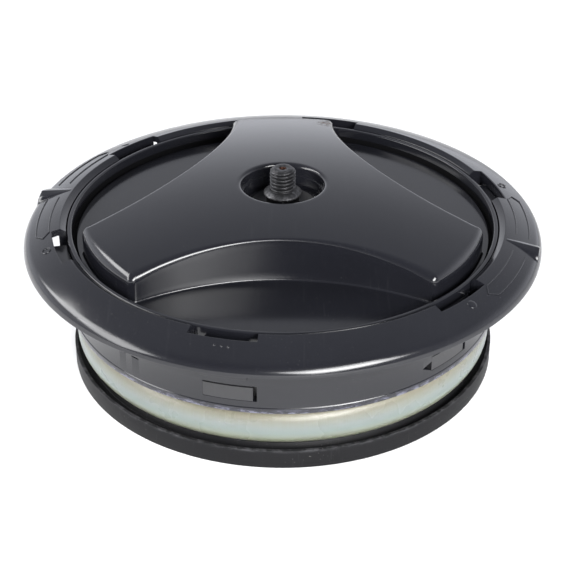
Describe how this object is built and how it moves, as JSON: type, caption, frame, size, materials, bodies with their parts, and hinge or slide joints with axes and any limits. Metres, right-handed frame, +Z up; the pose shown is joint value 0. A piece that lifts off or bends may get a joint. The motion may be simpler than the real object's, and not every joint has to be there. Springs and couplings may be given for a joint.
{
  "type": "expanding-seal tank lid",
  "caption": "Round tank lid with a three-lobed turn knob that raises a pressure plate on cam slots and squeezes a soft ring seal outwards against the vessel wall.",
  "frame": {"origin": "centre of the underside of the pressure plate, on the turning axis", "axes": "+Z up along the turning axis; -Y towards the viewer's side, the hollow between two lobes"},
  "size_m": [0.2, 0.2, 0.0788],
  "materials": {
    "gloss_black": "glossy moulded black plastic",
    "plate_black": "satin moulded black plastic, scuffed rim",
    "inner_black": "satin black plastic",
    "stud_black": "blackened steel, worn crests",
    "silicone": "pale translucent silicone",
    "black_rubber": "soft black rubber",
    "steel": "plain stainless steel",
    "bronze": "sintered bronze",
    "copper": "dull copper",
    "natural_plastic": "unpainted engineering plastic"
  },
  "bodies": {
    "lid_ring": {"outer_ring": "gloss_black", "glide_ring": "natural_plastic", "retainer_ring": "inner_black", "backing_ring": "steel", "expanding_seal": "silicone"},
    "knob": {"turn_knob": "gloss_black", "hub_washer": "inner_black", "centre_stud": "stud_black", "vent_tube": "copper", "stud_lock_washer": "steel", "stud_nut": "steel", "cam_drum": "natural_plastic", "drum_screws": "steel", "stop_washer": "steel", "stop_nut": "steel"},
    "plate": {"pressure_plate": "plate_black", "follower_pins": "steel", "hub_bush": "bronze", "gland_o_ring": "black_rubber", "gland_cap": "steel", "gland_screws": "steel"}
  },
  "joints": [
    {"name": "knob_turn", "type": "hinge", "parent": "lid_ring", "child": "knob", "pos_m": [0, 0, 0.05], "axis": [0, 0, 1], "range_deg": [-60, 0]},
    {"name": "plate_lift", "type": "slide", "parent": "lid_ring", "child": "plate", "axis": [0, 0, 1], "range_m": [0, 0.0051], "deforming": ["expanding_seal"]}
  ],
  "couplings": [
    {"joint": "plate_lift", "follows": "knob_turn", "m_per_rad": -0.0047746}
  ]
}
